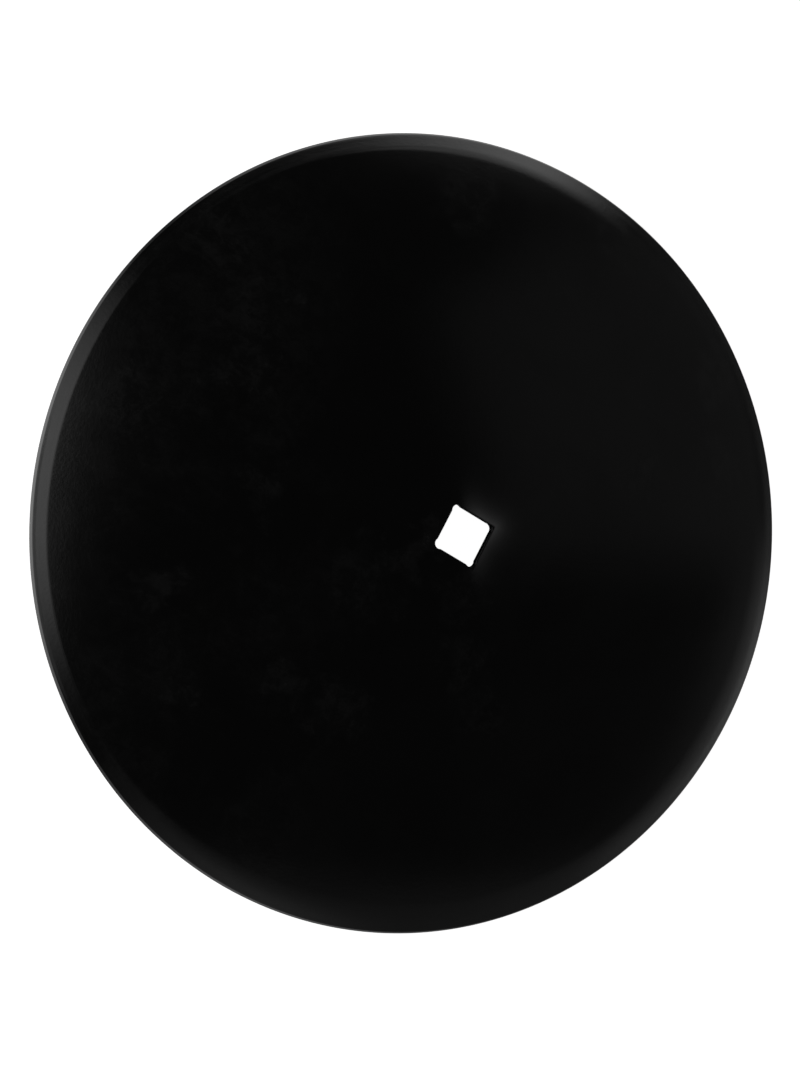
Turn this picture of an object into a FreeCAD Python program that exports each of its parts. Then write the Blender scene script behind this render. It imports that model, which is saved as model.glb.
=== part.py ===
import FreeCAD, Part
import math
import os
import Sketcher

# Harrow disc blade: one round steel plate, pressed to a shallow dish, its rim
# bevelled on the domed side, with a square axle hole through the middle whose
# corners are relieved by small round notches.
#
# Frame: the blade lies as it comes to rest, rim down and dome up. +Z is the
# disc's axis, z = 0 is the level that the rim rests on, and X and Y run
# parallel to the sides of the square hole. Lengths are in millimetres.

os.makedirs("parts", exist_ok=True)
doc = FreeCAD.newDocument("disc_blade_model")

# ---------------------------------------------------------------- dimensions
sheet = doc.addObject("Spreadsheet::Sheet", "dims")
CELLS = [
    # alias, value, meaning
    ("disc_radius", 280.0, "largest radius, at the lower edge of the nose"),
    ("rest_radius", 279.6, "radius of the sharp inner rim that the disc rests on"),
    ("dish_depth", 56.5, "hollow depth from the rest level to the inner face"),
    ("plate_thickness", 5.0, "thickness of the plate, the same all over"),
    ("nose_level", 0.95, "height of the largest radius above the rest level"),
    ("nose_width", 1.6, "radial width of the steep nose facet"),
    ("nose_height", 2.7, "height of the steep nose facet"),
    ("bevel_slope", 32.1, "slope of the bevel above the rim plane, degrees"),
    ("bevel_reach", 18.0, "length of the bevel cut along its slope"),
    ("cut_margin", 4.0, "how far the rim cut runs outside the plate"),
    ("hole_side", 32.1, "side of the square axle hole"),
    ("relief_radius", 3.8, "radius of the round corner reliefs"),
    ("relief_inset", 3.3, "centre of a relief from both sides of its corner"),
    ("hole_rollover", 0.9, "rounded edge of the hole on the domed side"),
    ("hole_break", 0.3, "broken edge of the hole on the hollow side"),
]
VAL = {}
for row, (alias, value, meaning) in enumerate(CELLS, start=1):
    sheet.set("A%d" % row, alias)
    sheet.set("B%d" % row, repr(value))
    sheet.setAlias("B%d" % row, alias)
    sheet.set("C%d" % row, meaning)
    VAL[alias] = value
doc.recompute()


def plane(body, role):
    for feature in body.Origin.OriginFeatures:
        if feature.Role == role:
            return feature
    raise RuntimeError("no plane " + role)


def bind(sketch, index, name, expression):
    # names a dimension of the sketch and ties it to the sheet
    sketch.renameConstraint(index, name)
    sketch.setExpression("Constraints." + name, expression)


V = FreeCAD.Vector
Line = Part.LineSegment
C = Sketcher.Constraint

# ------------------------------------------------------------- dished plate
body = doc.addObject("PartDesign::Body", "disc_blade")
body.Label = "disc_blade"

# Both faces are parts of two spheres with one centre, so the plate has one
# thickness. Its edge is square to the plate before the rim is bevelled.
rest_r, depth, thick = VAL["rest_radius"], VAL["dish_depth"], VAL["plate_thickness"]
inner_r = (rest_r ** 2 + depth ** 2) / (2.0 * depth)
centre = V(0, depth - inner_r, 0)
rim_angle = math.atan2(-centre.y, rest_r)
outer_r = inner_r + thick
edge_low = V(rest_r, 0, 0)
edge_high = centre + V(outer_r * math.cos(rim_angle), outer_r * math.sin(rim_angle), 0)

section = body.newObject("Sketcher::SketchObject", "plate_section")
section.AttachmentSupport = [(plane(body, "XZ_Plane"), "")]
section.MapMode = "FlatFace"
up = V(0, 0, 1)
section.addGeometry(Part.ArcOfCircle(Part.Circle(centre, up, inner_r), rim_angle, math.pi / 2))
section.addGeometry(Part.ArcOfCircle(Part.Circle(centre, up, outer_r), rim_angle, math.pi / 2))
section.addGeometry(Line(edge_low, edge_high))
section.addGeometry(Line(V(0, depth, 0), V(0, depth + thick, 0)))
INNER, OUTER, EDGE, AXIS = 0, 1, 2, 3
section.addConstraint(C("Coincident", INNER, 1, EDGE, 1))
section.addConstraint(C("Coincident", OUTER, 1, EDGE, 2))
section.addConstraint(C("Coincident", INNER, 2, AXIS, 1))
section.addConstraint(C("Coincident", OUTER, 2, AXIS, 2))
section.addConstraint(C("Coincident", INNER, 3, OUTER, 3))
section.addConstraint(C("PointOnObject", INNER, 3, -2))
section.addConstraint(C("PointOnObject", AXIS, 1, -2))
section.addConstraint(C("PointOnObject", AXIS, 2, -2))
section.addConstraint(C("PointOnObject", EDGE, 1, -1))
section.addConstraint(C("PointOnObject", INNER, 3, EDGE))
bind(section, section.addConstraint(C("DistanceX", -1, 1, EDGE, 1, rest_r)),
     "rest_radius", "dims.rest_radius")
bind(section, section.addConstraint(C("DistanceY", -1, 1, AXIS, 1, depth)),
     "dish_depth", "dims.dish_depth")
bind(section, section.addConstraint(C("DistanceY", AXIS, 1, AXIS, 2, thick)),
     "plate_thickness", "dims.plate_thickness")

plate = body.newObject("PartDesign::Revolution", "dished_plate")
plate.Profile = section
plate.ReferenceAxis = (section, ["V_Axis"])
plate.Angle = 360.0
section.Visibility = False
doc.recompute()
volume_plate = body.Shape.Volume

# ------------------------------------------------------- nose and rim bevel
# One cut round the rim leaves a steep narrow nose and, above it, the wide
# bevel that runs out into the domed face.
nose_low = V(VAL["disc_radius"], VAL["nose_level"], 0)
nose_high = nose_low + V(-VAL["nose_width"], VAL["nose_height"], 0)
slope = math.radians(VAL["bevel_slope"])
bevel_end = nose_high + V(-math.cos(slope), math.sin(slope), 0) * VAL["bevel_reach"]
margin = VAL["cut_margin"]
nose_out = nose_low + V(1, -VAL["nose_height"] / VAL["nose_width"], 0) * margin
corner = V(nose_out.x, bevel_end.y, 0)

rim = body.newObject("Sketcher::SketchObject", "rim_section")
rim.AttachmentSupport = [(plane(body, "XZ_Plane"), "")]
rim.MapMode = "FlatFace"
rim.addGeometry(Line(nose_out, nose_low))
rim.addGeometry(Line(nose_low, nose_high))
rim.addGeometry(Line(nose_high, bevel_end))
rim.addGeometry(Line(bevel_end, corner))
rim.addGeometry(Line(corner, nose_out))
for a, b in ((0, 1), (1, 2), (2, 3), (3, 4), (4, 0)):
    rim.addConstraint(C("Coincident", a, 2, b, 1))
rim.addConstraint(C("Parallel", 0, 1))
rim.addConstraint(C("Horizontal", 3))
rim.addConstraint(C("Vertical", 4))
bind(rim, rim.addConstraint(C("DistanceX", -1, 1, 1, 1, nose_low.x)),
     "disc_radius", "dims.disc_radius")
bind(rim, rim.addConstraint(C("DistanceY", -1, 1, 1, 1, nose_low.y)),
     "nose_level", "dims.nose_level")
bind(rim, rim.addConstraint(C("DistanceX", 1, 2, 1, 1, VAL["nose_width"])),
     "nose_width", "dims.nose_width")
bind(rim, rim.addConstraint(C("DistanceY", 1, 1, 1, 2, VAL["nose_height"])),
     "nose_height", "dims.nose_height")
bind(rim, rim.addConstraint(C("DistanceX", 2, 2, 2, 1, VAL["bevel_reach"] * math.cos(slope))),
     "bevel_run", "dims.bevel_reach * cos(dims.bevel_slope * 1 deg)")
bind(rim, rim.addConstraint(C("DistanceY", 2, 1, 2, 2, VAL["bevel_reach"] * math.sin(slope))),
     "bevel_rise", "dims.bevel_reach * sin(dims.bevel_slope * 1 deg)")
bind(rim, rim.addConstraint(C("DistanceX", 1, 1, 0, 1, margin)),
     "cut_margin", "dims.cut_margin")

bevel = body.newObject("PartDesign::Groove", "rim_bevel")
bevel.Profile = rim
bevel.ReferenceAxis = (rim, ["V_Axis"])
bevel.Angle = 360.0
rim.Visibility = False
doc.recompute()
volume_rim = body.Shape.Volume

# ------------------------------------------------------------- square hole
# Four sides and four round reliefs whose arcs run a little outside the sides.
half = VAL["hole_side"] / 2.0
rr, ri = VAL["relief_radius"], VAL["relief_inset"]
reach = math.sqrt(rr * rr - ri * ri)
hole = body.newObject("Sketcher::SketchObject", "hole_outline")
hole.AttachmentSupport = [(plane(body, "XY_Plane"), "")]
hole.MapMode = "FlatFace"
flat = half - ri - reach          # half length of a straight side
SIGNS = [(1, 1), (-1, 1), (-1, -1), (1, -1)]
# reliefs first: arc k is at the corner (sx, sy), run anticlockwise
for k, (sx, sy) in enumerate(SIGNS):
    mid = V(sx * (half - ri), sy * (half - ri), 0)
    start = math.atan2(-reach, ri) + k * math.pi / 2
    end = math.atan2(ri, -reach) + k * math.pi / 2
    hole.addGeometry(Part.ArcOfCircle(Part.Circle(mid, up, rr), start, end))
# sides: from the end of relief k to the start of relief k + 1
for k in range(4):
    a = hole.getPoint(k, 2)
    b = hole.getPoint((k + 1) % 4, 1)
    hole.addGeometry(Line(a, b))
for k in range(4):
    hole.addConstraint(C("Coincident", k, 2, 4 + k, 1))
    hole.addConstraint(C("Coincident", 4 + k, 2, (k + 1) % 4, 1))
for k, kind in enumerate(("Horizontal", "Vertical", "Horizontal", "Vertical")):
    hole.addConstraint(C(kind, 4 + k))
for k in range(1, 4):
    hole.addConstraint(C("Equal", 0, k))
bind(hole, hole.addConstraint(C("Radius", 0, rr)), "relief_radius", "dims.relief_radius")
# centres of the four reliefs
for k, (sx, sy) in enumerate(SIGNS):
    value = sx * (half - ri)
    bind(hole, hole.addConstraint(C("DistanceX", -1, 1, k, 3, value)), "relief_x%d" % k,
         "%d * (dims.hole_side / 2 - dims.relief_inset)" % sx)
    value = sy * (half - ri)
    bind(hole, hole.addConstraint(C("DistanceY", -1, 1, k, 3, value)), "relief_y%d" % k,
         "%d * (dims.hole_side / 2 - dims.relief_inset)" % sy)
# the four sides, at half the hole's side from the axis
bind(hole, hole.addConstraint(C("DistanceY", -1, 1, 4, 1, half)), "side_north", "dims.hole_side / 2")
bind(hole, hole.addConstraint(C("DistanceX", -1, 1, 5, 1, -half)), "side_west", "-dims.hole_side / 2")
bind(hole, hole.addConstraint(C("DistanceY", -1, 1, 6, 1, -half)), "side_south", "-dims.hole_side / 2")
bind(hole, hole.addConstraint(C("DistanceX", -1, 1, 7, 1, half)), "side_east", "dims.hole_side / 2")

pocket = body.newObject("PartDesign::Pocket", "square_hole")
pocket.Profile = hole
pocket.Type = "ThroughAll"
pocket.Reversed = True
hole.Visibility = False
doc.recompute()
volume_hole = body.Shape.Volume


# --------------------------------------------------------- edges of the hole
def hole_edges(shape, radius):
    # names of the hole's outline edges that lie on the sphere of this radius
    names = []
    zc = centre.y
    for i, edge in enumerate(shape.Edges, start=1):
        points = edge.discretize(5)
        if all(math.hypot(p.x, p.y) < 30.0 for p in points) and all(
                abs(math.sqrt(p.x ** 2 + p.y ** 2 + (p.z - zc) ** 2) - radius) < 0.01
                for p in points):
            names.append("Edge%d" % i)
    return names


# The hole was punched from the domed side, so that edge is drawn in and
# round; the edge on the hollow side is only broken.
rollover = body.newObject("PartDesign::Fillet", "hole_rollover")
rollover.Base = (pocket, hole_edges(pocket.Shape, outer_r))
rollover.setExpression("Radius", "dims.hole_rollover")
pocket.Visibility = False
doc.recompute()
volume_rollover = body.Shape.Volume

broken = body.newObject("PartDesign::Chamfer", "hole_break")
broken.Base = (rollover, hole_edges(rollover.Shape, inner_r))
broken.setExpression("Size", "dims.hole_break")
rollover.Visibility = False
doc.recompute()
volume_final = body.Shape.Volume

body.Placement = FreeCAD.Placement(V(0, 0, 0), FreeCAD.Rotation(0, 0, 0, 1))
doc.recompute()

# ------------------------------------------------------------------- checks
for obj in doc.Objects:
    state = getattr(obj, "State", [])
    if "Invalid" in state or "Error" in state:
        raise RuntimeError("%s failed: %s" % (obj.Name, state))
for sketch in (section, rim, hole):
    if not sketch.FullyConstrained:
        raise RuntimeError("%s is not fully constrained" % sketch.Name)
steps = [volume_plate, volume_rim, volume_hole, volume_rollover, volume_final]
for before, after in zip(steps, steps[1:]):
    if not after < before - 1.0:
        raise RuntimeError("a cut took nothing away: %s" % steps)
shape = body.Shape
if shape.isNull() or not shape.isValid() or len(shape.Solids) != 1:
    raise RuntimeError("disc_blade has a bad shape")

box = shape.BoundBox
print("volumes", [round(v) for v in steps])
print("box", box.XMin, box.XMax, box.YMin, box.YMax, box.ZMin, box.ZMax)
print("steel mass kg", shape.Volume * 7.85e-6)

shape.exportStep("parts/disc_blade.step")
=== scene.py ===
import math

import bpy
import numpy as np
from mathutils import Matrix, Vector


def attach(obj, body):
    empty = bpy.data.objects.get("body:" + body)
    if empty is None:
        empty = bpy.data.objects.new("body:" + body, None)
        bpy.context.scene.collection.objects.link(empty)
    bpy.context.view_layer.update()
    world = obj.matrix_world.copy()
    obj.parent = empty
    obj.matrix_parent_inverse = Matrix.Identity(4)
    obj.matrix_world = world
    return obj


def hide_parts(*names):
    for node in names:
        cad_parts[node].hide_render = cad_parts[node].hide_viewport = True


# The finished harrow disc blade: a black painted steel dish lying rim down,
# seen from above and from one side. Lengths are in metres.

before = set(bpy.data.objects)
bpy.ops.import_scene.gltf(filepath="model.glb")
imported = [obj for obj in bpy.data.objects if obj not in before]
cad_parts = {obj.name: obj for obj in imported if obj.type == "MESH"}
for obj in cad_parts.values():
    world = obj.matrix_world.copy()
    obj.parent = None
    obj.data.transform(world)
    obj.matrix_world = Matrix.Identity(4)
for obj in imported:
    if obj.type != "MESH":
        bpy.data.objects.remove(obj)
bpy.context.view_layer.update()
scene = bpy.context.scene
MM = 0.001

# ------------------------------------------------------------------ sizes
R_DISC = 280.0        # largest radius, at the foot of the nose
R_REST = 279.6        # sharp inner rim
NOSE_Z = 0.95
NOSE_TOP = (278.4, 3.65)
R_INNER = 720.074     # hollow face
R_OUTER = 725.074     # domed face
Z_CENTRE = -663.574   # common centre of both spheres
HALF = 15.95          # half side of the square hole at its narrowest
# Radius of each corner relief and how far in its centre sits; the first was
# punched shallower.
RELIEFS = [(4.12, 4.0), (3.8, 3.3), (3.8, 3.3), (3.8, 3.3)]
THICK = 5.0

# The camera stands in this direction round the disc, and "across" and "up"
# are the picture's own directions in the rim's plane.
BEARING = 206.034
ACROSS = np.array([-math.cos(math.radians(BEARING)), -math.sin(math.radians(BEARING))])
UPWARD = np.array([-ACROSS[1], ACROSS[0]])

rng = np.random.default_rng(7)


# ------------------------------------------------------- blade's own mesh
M = 512               # points round each loop
N_ARC, N_SIDE = 44, 84


def dome_z(x, y, radius):
    return Z_CENTRE + np.sqrt(radius * radius - x * x - y * y)


HOLE_OFF = 0.5 * UPWARD   # the punch sat half a millimetre off the rim's centre


def hole_loop(grow):
    """M points round the hole's outline, offset outward by grow."""
    side = HALF + grow
    corners = []
    for radius, inset in RELIEFS:
        rr, ci = radius + grow, HALF - inset
        gap = side - ci
        corners.append((rr, ci, gap, math.sqrt(max(rr * rr - gap * gap, 0.0))))
    pts = []
    for k in range(4):
        rr, ci, gap, reach = corners[k]
        a0 = -math.atan2(reach, gap)
        a1 = math.pi / 2 - a0
        turn = k * math.pi / 2
        c, s = math.cos(turn), math.sin(turn)
        arc = np.linspace(a0, a1, N_ARC, endpoint=False)
        local = [(ci + rr * math.cos(a), ci + rr * math.sin(a)) for a in arc]
        start, end = ci - reach, corners[(k + 1) % 4][3] - corners[(k + 1) % 4][1]
        for t in np.linspace(0, 1, N_SIDE, endpoint=False):
            local.append((start + (end - start) * t, side))
        pts += [(x * c - y * s, x * s + y * c) for x, y in local]
    return np.array(pts) + HOLE_OFF


base = hole_loop(0.0)
base_angle = np.unwrap(np.arctan2(base[:, 1], base[:, 0]))
even_angle = base_angle[0] + np.arange(M) * 2 * math.pi / M
even_angle += (base_angle - even_angle).mean()


def ring(radius, even=1.0, centre=(0.0, 0.0)):
    a = base_angle * (1 - even) + even_angle * even
    return np.stack([centre[0] + radius * np.cos(a), centre[1] + radius * np.sin(a)], 1)


def smooth(t):
    t = np.clip(t, 0, 1)
    return t * t * (3 - 2 * t)


def waviness(x, y):
    """Slight unevenness that pressing and quenching leave in a plate, mm."""
    w = 0.030 * np.sin(x / 31.0 + 0.6) * np.sin(y / 37.0 - 1.1)
    w += 0.018 * np.sin((x + y) / 19.0 + 2.0) * np.sin((x - 0.6 * y) / 23.0)
    w += 0.010 * np.sin((x - 1.7 * y) / 11.0 + 0.3)
    r = np.hypot(x, y)
    return w * smooth((r - 20) / 30.0) * (1 - smooth((r - 240.0) / 14.0))


loops = []            # each: M x 3, mm


def add(xy, z):
    loops.append(np.column_stack([xy, np.broadcast_to(z, len(xy))]))


def on_dome(xy, dip=0.0):
    x, y = xy[:, 0], xy[:, 1]
    return dome_z(x, y, R_OUTER) + waviness(x, y) - dip


# The hollow face, from the hole outwards is made last; start with the edge
# of the hole on the hollow side, then up the wall.
BREAK = 0.15
ROLL = 0.45
for g, up in ((BREAK, 0.0), (BREAK * 0.55, BREAK * 0.12), (BREAK * 0.12, BREAK * 0.55), (0.0, BREAK)):
    p = hole_loop(g)
    add(p, dome_z(p[:, 0], p[:, 1], R_INNER) + up)
wall_low = loops[-1][:, 2].copy()
top_edge = hole_loop(ROLL)
drawn = 0.05          # how far the punch drew the face down at the hole
wall_high = on_dome(base) - drawn - ROLL
# The wall: cleanly sheared over its upper part and broken out below it.
tear = 0.05 * np.sin(base_angle * 23.0) + 0.05 * np.sin(base_angle * 41.0 + 1.0)
normal = base - hole_loop(-0.01)
normal /= np.linalg.norm(normal, axis=1)[:, None]
for t, out in ((0.20, 0.02), (0.36, 0.05), (0.46, 0.03), (0.50, 0.01), (0.56, 0.0), (0.75, 0.0), (1.0, 0.0)):
    z = wall_low + (wall_high - wall_low) * t
    shift = out * (1 + 4 * tear)
    if 0.3 < t < 0.6:
        z = z + 1.6 * tear
    add(base + normal * shift[:, None], z)
# Rolled edge on the domed side, a quarter of a circle.
for k in range(1, 9):
    a = k / 8 * math.pi / 2
    g = ROLL * (1 - math.cos(a))
    p = hole_loop(g)
    fade = drawn * math.exp(-g / 2.2)
    add(p, dome_z(p[:, 0], p[:, 1], R_OUTER) - fade - ROLL * (1 - math.sin(a)))
# Out over the drawn-in margin, then from the square towards a circle.
for g in (0.65, 0.95, 1.4, 2.0, 2.8, 3.9, 5.8, 8.2):
    p = hole_loop(g)
    add(p, on_dome(p, drawn * math.exp(-g / 2.2)))
last = hole_loop(8.2)
for k in range(1, 13):
    t = k / 12
    p = last * (1 - smooth(t)) + ring(52.0, even=smooth(t) * 0.6) * smooth(t)
    add(p, on_dome(p))
for k in range(1, 9):
    t = k / 8
    p = ring(52.0 + 38.0 * t, even=0.6 + 0.4 * smooth(t))
    add(p, on_dome(p))

# The bevel was ground a little off centre, so its inner border is a circle
# of its own, and the band is wider on one side.
BEVEL_R = 266.95
BEVEL_C = -3.3 * ACROSS + 0.74 * UPWARD


def border(inset, even=1.0):
    """Circle parallel to the bevel's inner border, inset millimetres inside it."""
    return ring(BEVEL_R - inset, even, BEVEL_C)


# The crease at the border is crisp on one side of the disc and worn to a
# broad round on the other. width is how far the rounding reaches each way.
edge_p = border(0.0)
edge = np.column_stack([edge_p, dome_z(edge_p[:, 0], edge_p[:, 1], R_OUTER)])
from_crisp = 150.0 - np.degrees(np.arctan2(edge_p @ UPWARD, edge_p @ ACROSS))
from_crisp = (from_crisp + 180.0) % 360.0 - 180.0
width = 0.7 + 8.6 * np.where(from_crisp > 0, smooth((from_crisp - 28.0) / 88.0),
                             smooth((-from_crisp - 50.0) / 60.0))
out = edge_p - BEVEL_C
out /= np.linalg.norm(out, axis=1)[:, None]

# The face from r = 90 to where the rounding starts, the loops sliding over
# to the border's centre.
reach = BEVEL_R - width - 1.2
for k in range(1, 27):
    t = k / 26
    p = BEVEL_C * smooth(t) + out * (90.0 + (reach - 90.0) * t)[:, None]
    add(p, on_dome(p))
start_xy = edge_p - out * width[:, None]
start = np.column_stack([start_xy, dome_z(start_xy[:, 0], start_xy[:, 1], R_OUTER)])
nose_xy = ring(NOSE_TOP[0])
nose = np.column_stack([nose_xy, np.full(M, NOSE_TOP[1])])
# Control point: where the dome's tangent at the start meets the band.
fall = -(start_xy * out).sum(1) / (start[:, 2] - Z_CENTRE)
tangent = np.column_stack([out, fall])
tangent /= np.linalg.norm(tangent, axis=1)[:, None]
span = np.linalg.norm(nose - edge, axis=1)[:, None]
band = (nose - edge) / span
gap = edge - start
td = (tangent * band).sum(1)
lam = ((gap * tangent).sum(1) - (gap * band).sum(1) * td) / (1 - td * td)
control = start + tangent * lam[:, None]
finish_pt = edge + band * np.minimum(lam, span[:, 0] - 1.6)[:, None]
loops.append(start)
for k in range(1, 10):
    t = k / 10
    loops.append((1 - t) ** 2 * start + 2 * t * (1 - t) * control + t * t * finish_pt)
for t in (0.0, 0.2, 0.5, 0.8, 1.0):
    a, b = finish_pt, nose - band * 0.35
    loops.append(a * (1 - t) + b * t)
# Nose: rounded upper corner, steep facet, rounded foot.
foot = np.column_stack([ring(R_DISC), np.full(M, NOSE_Z)])
facet = (foot - nose) / np.linalg.norm(foot - nose, axis=1)[:, None]
for k in range(1, 5):
    t = k / 4
    a, b, c = nose - band * 0.35, nose, nose + facet * 0.35
    loops.append((1 - t) ** 2 * a + 2 * t * (1 - t) * b + t * t * c)
for t in (0.33, 0.66, 1.0):
    loops.append((nose + facet * 0.35) * (1 - t) + (foot - facet * 0.2) * t)
rest = np.column_stack([ring(R_REST), np.zeros(M)])
under = (rest - foot) / np.linalg.norm(rest - foot, axis=1)[:, None]
for k in range(1, 4):
    t = k / 3
    a, b, c = foot - facet * 0.2, foot, foot + under * 0.2
    loops.append((1 - t) ** 2 * a + 2 * t * (1 - t) * b + t * t * c)
loops.append(rest * 0.5 + (foot + under * 0.2) * 0.5)
loops.append(rest)

# Hollow face, from the rim back to the hole.
for r in [279.35, 278.8, 277.6, 275.0] + list(np.arange(268.0, 97.0, -9.5)):
    p = ring(r)
    x, y = p[:, 0], p[:, 1]
    add(p, dome_z(x, y, R_INNER) + waviness(x, y) * 1.2)
for k in range(0, 9):
    t = 1 - k / 8
    p = ring(52.0 + 38.0 * t, even=0.6 + 0.4 * smooth(t))
    add(p, dome_z(p[:, 0], p[:, 1], R_INNER))
last = hole_loop(6.0)
for k in range(1, 11):
    t = 1 - k / 10
    p = last * (1 - smooth(t)) + ring(52.0, even=smooth(t) * 0.6) * smooth(t)
    add(p, dome_z(p[:, 0], p[:, 1], R_INNER))
for g in (4.0, 2.5, 1.4, 0.7):
    p = hole_loop(g)
    add(p, dome_z(p[:, 0], p[:, 1], R_INNER))

rows = len(loops)
co = np.concatenate(loops) * MM
faces = []
idx = np.arange(M)
nxt = (idx + 1) % M
for j in range(rows):
    a, b = j * M, ((j + 1) % rows) * M
    faces.append(np.stack([a + idx, a + nxt, b + nxt, b + idx], 1))
faces = np.concatenate(faces)

mesh = bpy.data.meshes.new("disc_blade_plate")
mesh.vertices.add(len(co))
mesh.vertices.foreach_set("co", co.astype(np.float32).ravel())
mesh.loops.add(faces.size)
mesh.loops.foreach_set("vertex_index", faces.astype(np.int32).ravel())
mesh.polygons.add(len(faces))
mesh.polygons.foreach_set("loop_start", np.arange(0, faces.size, 4, dtype=np.int32))
mesh.polygons.foreach_set("loop_total", np.full(len(faces), 4, np.int32))
mesh.polygons.foreach_set("use_smooth", np.ones(len(faces), bool))
mesh.update(calc_edges=True)
mesh.validate()
blade = bpy.data.objects.new("blade_plate", mesh)
scene.collection.objects.link(blade)


# --------------------------------------------------------------- material
# Rubbed and dusty areas of the paint: middle across and up, radius, in mm.
RUBBED = [
    (-170, 189, 28), (-146, 140, 27), (-149, 101, 19), (-118, 152, 8),
    (-140, 22, 19), (-76, -32, 28), (-43, -14, 16), (4, -37, 22),
    (-80, -120, 24), (-120, -100, 16), (-203, -45, 14), (-183, -110, 15),
    (-224, 77, 30), (9, 234, 24), (213, 125, 24), (218, 61, 20),
    (145, 51, 14), (127, 225, 28), (8, -88, 20), (-26, -2, 12),
    (24, -122, 20),
]


def make_paint():
    mat = bpy.data.materials.new("black_paint")
    mat.use_nodes = True
    nt = mat.node_tree
    nodes, links = nt.nodes, nt.links
    bsdf = nodes["Principled BSDF"]

    def node(kind, **props):
        n = nodes.new(kind)
        for k, v in props.items():
            setattr(n, k, v)
        return n

    coord = node("ShaderNodeTexCoord")

    def noise(scale, detail=4.0, rough=0.5, distort=0.0):
        n = node("ShaderNodeTexNoise")
        n.inputs["Scale"].default_value = scale
        n.inputs["Detail"].default_value = detail
        n.inputs["Roughness"].default_value = rough
        n.inputs["Distortion"].default_value = distort
        links.new(coord.outputs["Object"], n.inputs["Vector"])
        return n.outputs["Fac"]

    def ramp(fac, stops):
        n = node("ShaderNodeValToRGB")
        el = n.color_ramp.elements
        while len(el) > 2:
            el.remove(el[-1])
        for i, (pos, col) in enumerate(stops):
            e = el[i] if i < 2 else el.new(pos)
            e.position = pos
            e.color = (*col, 1.0) if len(col) == 3 else col
        links.new(fac, n.inputs["Fac"])
        return n.outputs["Color"]

    def math_node(op, a, b=None, clamp=False):
        n = node("ShaderNodeMath", operation=op, use_clamp=clamp)
        for i, v in enumerate((a, b)):
            if v is None:
                continue
            if isinstance(v, (int, float)):
                n.inputs[i].default_value = v
            else:
                links.new(v, n.inputs[i])
        return n.outputs[0]

    def mix(fac, a, b):
        n = node("ShaderNodeMix", data_type="RGBA")
        for sock, v in ((n.inputs[0], fac), (n.inputs[6], a), (n.inputs[7], b)):
            if isinstance(v, (int, float)):
                sock.default_value = v
            elif isinstance(v, tuple):
                sock.default_value = (*v, 1.0)
            else:
                links.new(v, sock)
        return n.outputs[2]

    # Position along the picture's two directions, metres.
    sep = node("ShaderNodeSeparateXYZ")
    links.new(coord.outputs["Object"], sep.inputs[0])
    px, py = sep.outputs[0], sep.outputs[1]

    def along(direction):
        return math_node("ADD", math_node("MULTIPLY", px, float(direction[0])),
                         math_node("MULTIPLY", py, float(direction[1])))

    def step(value, low, high):
        n = node("ShaderNodeMapRange", interpolation_type="SMOOTHSTEP")
        n.inputs["From Min"].default_value = low
        n.inputs["From Max"].default_value = high
        if isinstance(value, (int, float)):
            n.inputs["Value"].default_value = value
        else:
            links.new(value, n.inputs["Value"])
        return n.outputs["Result"]

    # Faint clouds in the film everywhere. Where the film is dusty or rubbed
    # there are grainy blotches with small paler flecks.
    flat_pos = node("ShaderNodeCombineXYZ")
    links.new(along(ACROSS), flat_pos.inputs[0])
    links.new(along(UPWARD), flat_pos.inputs[1])
    wobble = node("ShaderNodeVectorMath", operation="MULTIPLY_ADD")
    colour_noise = node("ShaderNodeTexNoise")
    colour_noise.inputs["Scale"].default_value = 38.0
    colour_noise.inputs["Detail"].default_value = 6.0
    colour_noise.inputs["Roughness"].default_value = 0.65
    links.new(coord.outputs["Object"], colour_noise.inputs["Vector"])
    links.new(colour_noise.outputs["Color"], wobble.inputs[0])
    wobble.inputs[1].default_value = (0.075, 0.075, 0.0)
    links.new(flat_pos.outputs[0], wobble.inputs[2])
    facing = node("ShaderNodeSeparateXYZ")
    links.new(coord.outputs["Normal"], facing.inputs[0])
    domed = step(facing.outputs[2], 0.0, 0.3)
    region = None
    for across, upward, radius in RUBBED:
        apart = node("ShaderNodeVectorMath", operation="DISTANCE")
        links.new(wobble.outputs[0], apart.inputs[0])
        apart.inputs[1].default_value = (across * MM + 0.0375, upward * MM + 0.0375, 0.0)
        spot = step(apart.outputs["Value"], radius * 1.25 * MM, radius * 0.40 * MM)
        region = spot if region is None else math_node("MAXIMUM", region, spot)
    cloud = noise(9.0, 8.0, 0.70, 0.15)
    dusty = math_node("MULTIPLY", step(along(ACROSS), -0.05, -0.14), step(cloud, 0.38, 0.56))
    region = math_node("MAXIMUM", region, math_node("MULTIPLY", dusty, 0.48))
    region = math_node("MULTIPLY", region, domed)
    grain = noise(62.0, 9.0, 0.86, 0.0)
    speck = noise(260.0, 4.0, 0.6, 0.0)
    fine = noise(900.0, 3.0, 0.6)
    film = step(cloud, 0.42, 0.62)
    blotch = math_node("MULTIPLY", step(grain, 0.44, 0.57), region)
    dot = math_node("MULTIPLY", step(speck, 0.58, 0.70), math_node("MULTIPLY", step(grain, 0.50, 0.62), region))
    base_col = mix(film, (0.0002, 0.0002, 0.0002), (0.0012, 0.0012, 0.0012))
    # Thin drifting dust on the right half.
    drift = math_node("MULTIPLY", step(noise(7.0, 7.0, 0.62, 0.5), 0.38, 0.66),
                      math_node("MULTIPLY", step(along(ACROSS), -0.02, 0.07), domed))
    base_col = mix(drift, base_col, (0.0042, 0.0042, 0.0042))
    base_col = mix(region, base_col, (0.0018, 0.0018, 0.0018))
    base_col = mix(blotch, base_col, (0.0078, 0.0078, 0.0078))
    base_col = mix(dot, base_col, (0.0170, 0.0170, 0.0170))
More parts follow.
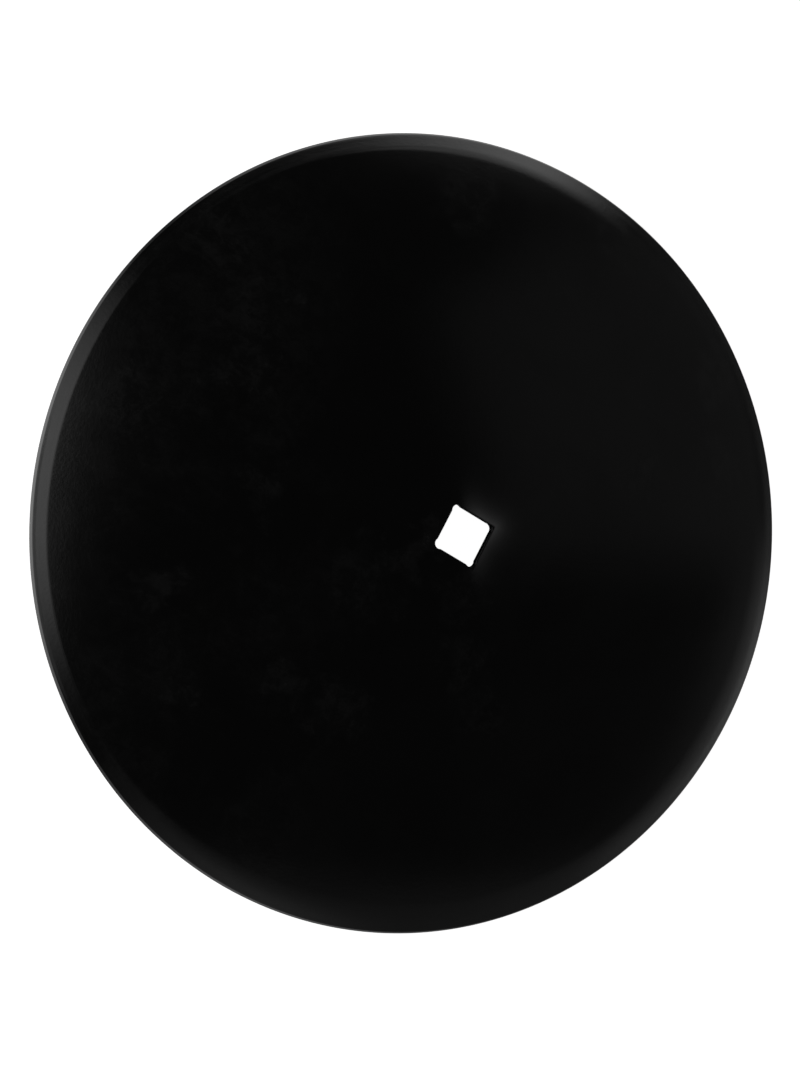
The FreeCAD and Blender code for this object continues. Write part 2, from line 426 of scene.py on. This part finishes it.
    # Painted highlight: paler paint beside the hole, at one corner and along two sides, stands in for the sheen
    # off the punched roll-over.
    over_x = math_node("MAXIMUM", math_node("SUBTRACT", math_node("ABSOLUTE", px), HALF * MM), 0.0)
    over_y = math_node("MAXIMUM", math_node("SUBTRACT", math_node("ABSOLUTE", py), HALF * MM), 0.0)
    square = math_node("SQRT", math_node("ADD", math_node("MULTIPLY", over_x, over_x), math_node("MULTIPLY", over_y, over_y)))
    near = math_node("POWER", 2.718282, math_node("MULTIPLY", square, -1.0 / 0.0052))
    near = math_node("MULTIPLY", near, step(square, 0.0002, 0.0016))
    corner = ACROSS * math.cos(math.radians(10)) + UPWARD * math.sin(math.radians(10))
    side = step(along(corner), -0.002, 0.015)
    upper = ACROSS * math.cos(math.radians(55)) + UPWARD * math.sin(math.radians(55))
    side = math_node("MULTIPLY", side, math_node("ADD", 0.5, math_node("MULTIPLY", step(along(upper), 0.002, 0.020), 0.5)))
    hole_sheen = math_node("MULTIPLY", math_node("MULTIPLY", near, side), domed, clamp=True)
    # the painted highlight beside the hole is mixed into the base colour here
    base_col = mix(hole_sheen, base_col, (0.190, 0.190, 0.191))
    # Fine lines round the bevel, left by grinding and filled by the paint.
    radial = math_node("SQRT", math_node("ADD", math_node("MULTIPLY", px, px), math_node("MULTIPLY", py, py)))
    line_pos = node("ShaderNodeCombineXYZ")
    links.new(math_node("MULTIPLY", radial, 720.0), line_pos.inputs[0])
    links.new(math_node("MULTIPLY", math_node("DIVIDE", px, radial), 5.0), line_pos.inputs[1])
    links.new(math_node("MULTIPLY", math_node("DIVIDE", py, radial), 5.0), line_pos.inputs[2])
    lines = node("ShaderNodeTexNoise")
    lines.inputs["Scale"].default_value = 1.0
    lines.inputs["Detail"].default_value = 3.0
    lines.inputs["Roughness"].default_value = 0.6
    links.new(line_pos.outputs[0], lines.inputs["Vector"])
    on_bevel = math_node("MULTIPLY", step(radial, 0.2690, 0.2715), domed)
    streak = math_node("MULTIPLY", step(lines.outputs["Fac"], 0.36, 0.68), on_bevel)
    # Duller line just inside the nose, on the left of the picture only.
    dull = math_node("MULTIPLY", step(radial, 0.2760, 0.2770), step(radial, 0.2784, 0.2776))
    dull = math_node("MULTIPLY", math_node("MULTIPLY", dull, domed), step(along(ACROSS), -0.20, -0.25))
    dull = math_node("MULTIPLY", dull, step(along(UPWARD), 0.080, 0.030))
    dull = math_node("MULTIPLY", dull, step(along(UPWARD), -0.130, -0.095))
    links.new(base_col, bsdf.inputs["Base Color"])

    rough = math_node("ADD", 0.12, math_node("MULTIPLY", cloud, 0.07))
    rough = math_node("ADD", rough, math_node("MULTIPLY", fine, 0.02))
    uneven = math_node("MULTIPLY", math_node("SUBTRACT", streak, math_node("MULTIPLY", on_bevel, 0.5)), 0.06)
    rough = math_node("ADD", rough, uneven)
    rough = math_node("ADD", rough, math_node("MULTIPLY", dull, 0.36))
    links.new(rough, bsdf.inputs["Roughness"])

    bump = node("ShaderNodeBump")
    bump.inputs["Strength"].default_value = 0.18
    bump.inputs["Distance"].default_value = 0.0004
    height = math_node("ADD", math_node("MULTIPLY", noise(420.0, 3.0, 0.55), 0.6),
                       math_node("MULTIPLY", fine, 0.4))
    links.new(height, bump.inputs["Height"])
    links.new(bump.outputs["Normal"], bsdf.inputs["Normal"])
    bsdf.inputs["IOR"].default_value = 1.5
    return mat


paint = make_paint()
mesh.materials.append(paint)
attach(blade, "root")
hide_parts("disc_blade")

# ------------------------------------------------------------------ floor
floor_mesh = bpy.data.meshes.new("studio_floor")
S = 12.0
floor_mesh.from_pydata([(-S, -S, 0), (S, -S, 0), (S, S, 0), (-S, S, 0)], [], [(0, 1, 2, 3)])
floor = bpy.data.objects.new("studio_floor", floor_mesh)
floor.location.z = -0.0003
scene.collection.objects.link(floor)
fm = bpy.data.materials.new("studio_floor")
fm.use_nodes = True
fn, fl = fm.node_tree.nodes, fm.node_tree.links
fb = fn["Principled BSDF"]
fb.inputs["Base Color"].default_value = (0.8, 0.8, 0.8, 1)
fb.inputs["Roughness"].default_value = 0.9
fb.inputs["Emission Color"].default_value = (1, 1, 1, 1)
path = fn.new("ShaderNodeLightPath")
glow = fn.new("ShaderNodeMix")
glow.data_type = "FLOAT"
glow.inputs[3].default_value = 1.0       # what the camera sees
fl.new(path.outputs["Is Camera Ray"], glow.inputs[0])
# What the steep nose of the rim reflects: a pool of light on one side.
fc = fn.new("ShaderNodeTexCoord")
pool_map = fn.new("ShaderNodeMapping")
pool_map.inputs["Rotation"].default_value = (0, 0, -math.atan2(ACROSS[1], ACROSS[0]))
fl.new(fc.outputs["Object"], pool_map.inputs["Vector"])
fsep = fn.new("ShaderNodeSeparateXYZ")
fl.new(pool_map.outputs["Vector"], fsep.inputs[0])


def floor_math(op, a, b=None):
    n = fn.new("ShaderNodeMath")
    n.operation = op
    for i, v in enumerate((a, b)):
        if v is None:
            continue
        if isinstance(v, (int, float)):
            n.inputs[i].default_value = v
        else:
            fl.new(v, n.inputs[i])
    return n.outputs[0]


bearing = floor_math("ARCTAN2", fsep.outputs[1], fsep.outputs[0])
turned = floor_math("FRACT", floor_math("ADD", floor_math("DIVIDE", bearing, 2 * math.pi), 1.0))
# brightness round the disc, every 15 degrees from "across" towards "up"
ROUND = [0.08, 0.015, 0.02, 0.05, 0.40, 0.60, 0.60, 0.80, 0.52, 0.02, 1.05, 2.6,
         2.8, 1.9, 0.20, 0.48, 0.60, 0.34, 0.13, 0.02, 0.08, 0.15, 0.60, 0.50]
pool = fn.new("ShaderNodeValToRGB")
stops = pool.color_ramp.elements
for i, value in enumerate(ROUND):
    stop = stops[0] if i == 0 else stops.new(i / len(ROUND))
    stop.color = (value / 4, value / 4, value / 4, 1)
stops[-1].color = stops[0].color
notch = stops.new(142.0 / 360)
notch.color = (0.025, 0.025, 0.025, 1)
fl.new(turned, pool.inputs["Fac"])
# painted shade: under the dish the floor's glow is cut to almost nothing
far_out = floor_math("SQRT", floor_math("ADD", floor_math("MULTIPLY", fsep.outputs[0], fsep.outputs[0]),
                                        floor_math("MULTIPLY", fsep.outputs[1], fsep.outputs[1])))
outside = fn.new("ShaderNodeMapRange")
outside.interpolation_type = "SMOOTHSTEP"
outside.inputs["From Min"].default_value = 0.270
outside.inputs["From Max"].default_value = 0.279
outside.inputs["To Min"].default_value = 0.01
fl.new(far_out, outside.inputs["Value"])
lit = floor_math("MULTIPLY", pool.outputs["Color"], 4.0)
fl.new(floor_math("MULTIPLY", lit, outside.outputs["Result"]), glow.inputs[2])
fl.new(glow.outputs[0], fb.inputs["Emission Strength"])
floor_mesh.materials.append(fm)

# ----------------------------------------------------------------- lights
world = bpy.data.worlds.new("studio")
world.use_nodes = True
world.node_tree.nodes["Background"].inputs["Color"].default_value = (1, 1, 1, 1)
world.node_tree.nodes["Background"].inputs["Strength"].default_value = 0.0350
wn, wl = world.node_tree.nodes, world.node_tree.links
pale = wn.new("ShaderNodeBackground")
pale.inputs["Color"].default_value = (1, 1, 1, 1)
pale.inputs["Strength"].default_value = 1.0
wpath, wmix = wn.new("ShaderNodeLightPath"), wn.new("ShaderNodeMixShader")
wl.new(wpath.outputs["Is Camera Ray"], wmix.inputs[0])
wl.new(wn["Background"].outputs[0], wmix.inputs[1])
wl.new(pale.outputs[0], wmix.inputs[2])
wl.new(wmix.outputs[0], wn["World Output"].inputs["Surface"])
scene.world = world


def softbox(name, across, upward, size_a, size_b, radiance, distance=2.2, soft=0.5, turn=0.0):
    """A soft light whose middle stands at this angle from straight above the
    disc, given by its two picture directions in degrees; sizes in degrees."""
    tilt = math.hypot(across, upward)
    az = math.atan2(upward, across)
    d2 = ACROSS * math.cos(az) + UPWARD * math.sin(az)
    t = math.radians(tilt)
    d = Vector((d2[0] * math.sin(t), d2[1] * math.sin(t), math.cos(t)))
    light = bpy.data.lights.new(name, "AREA")
    light.shape = "RECTANGLE"
    light.size = 2 * distance * math.tan(math.radians(size_a) / 2)
    light.size_y = 2 * distance * math.tan(math.radians(size_b) / 2)
    light.energy = radiance * math.pi * light.size * light.size_y
    light.use_nodes = True
    nt = light.node_tree
    em = nt.nodes["Emission"]
    geo = nt.nodes.new("ShaderNodeNewGeometry")
    sep = nt.nodes.new("ShaderNodeSeparateXYZ")
    nt.links.new(geo.outputs["Parametric"], sep.inputs[0])

    def fade(out):
        # 0 at both borders, 1 over the middle
        half = nt.nodes.new("ShaderNodeMath"); half.operation = "SUBTRACT"
        half.inputs[1].default_value = 0.5
        nt.links.new(out, half.inputs[0])
        mag = nt.nodes.new("ShaderNodeMath"); mag.operation = "ABSOLUTE"
        nt.links.new(half.outputs[0], mag.inputs[0])
        mp = nt.nodes.new("ShaderNodeMapRange"); mp.interpolation_type = "SMOOTHSTEP"
        mp.inputs["From Min"].default_value = 0.5
        mp.inputs["From Max"].default_value = 0.5 - 0.5 * soft
        nt.links.new(mag.outputs[0], mp.inputs["Value"])
        return mp.outputs["Result"]

    mul = nt.nodes.new("ShaderNodeMath"); mul.operation = "MULTIPLY"
    nt.links.new(fade(sep.outputs[0]), mul.inputs[0])
    nt.links.new(fade(sep.outputs[1]), mul.inputs[1])
    nt.links.new(mul.outputs[0], em.inputs["Strength"])
    obj = bpy.data.objects.new(name, light)
    scene.collection.objects.link(obj)
    obj.location = d * distance
    # side a runs along the horizontal, side b towards the zenith
    z = d.normalized()
    x = Vector((0, 0, 1)).cross(z)
    x = x.normalized() if x.length > 1e-4 else Vector((ACROSS[0], ACROSS[1], 0))
    y = z.cross(x)
    rot = Matrix((x, y, z)).transposed()
    obj.rotation_mode = "QUATERNION"
    obj.rotation_quaternion = (rot.to_3x3() @ Matrix.Rotation(math.radians(turn), 3, "Z")).to_quaternion()
    obj.visible_camera = False
    return obj


# name, place across and up, size round and down, radiance, distance,
# softness, turn
LIGHTS = [
    ("box_left", -70.0, 8.2, 83.5, 65.5, 1.38, 2.2, 0.88, -18.3),
    ("box_strip", -43.9, 1.4, 65.2, 16.0, 0.39, 2.2, 0.66, -1.0),
    ("box_top", 29.3, 64.0, 50.2, 17.0, 0.66, 2.2, 0.80, 17.4),
    ("box_far", 10.7, 95.0, 85.2, 45.1, 1.277, 2.2, 0.51, -7.3),
    ("box_right", 99.7, -38.7, 58.9, 79.8, 0.177, 2.2, 0.52, 2.2),
    ("box_bottom", 10.0, -66.5, 95.2, 35.4, 0.079, 2.2, 0.44, -15.7),
    ("box_corner", -14.0, -84.7, 54.0, 66.9, 0.307, 2.2, 1.0, -6.8),
    ("box_haze", 52.0, 21.6, 52.5, 70.0, 0.0565, 2.2, 0.44, -10.0),
]
for row in LIGHTS:
    softbox(*row)

# ----------------------------------------------------------------- camera
cam_data = bpy.data.cameras.new("camera")
cam = bpy.data.objects.new("camera", cam_data)
scene.collection.objects.link(cam)
cam_data.sensor_width = 36.0
cam_data.lens = 1824.6 / 1067.0 * 36.0
cam_data.clip_start, cam_data.clip_end = 0.05, 50.0
tilt = math.radians(22.3908)
far = 1.28112
acr = Vector((ACROSS[0], ACROSS[1], 0))
upw = Vector((UPWARD[0], UPWARD[1], 0))
place = (-acr * math.sin(tilt) + Vector((0, 0, 1)) * math.cos(tilt)) * far
aim = acr * (-22.40 * MM) + upw * (-0.21 * MM)
w = (place - aim).normalized()
u = (acr - w * acr.dot(w)).normalized()
v = w.cross(u)
roll = math.radians(3.022)
right = u * math.cos(roll) + v * math.sin(roll)
up = -u * math.sin(roll) + v * math.cos(roll)
cam.matrix_world = Matrix.Translation(place) @ Matrix((right, up, w)).transposed().to_4x4()
scene.camera = cam

scene.view_settings.view_transform = "Standard"
scene.view_settings.look = "None"
scene.view_settings.exposure = 0.0
scene.view_settings.gamma = 1.0
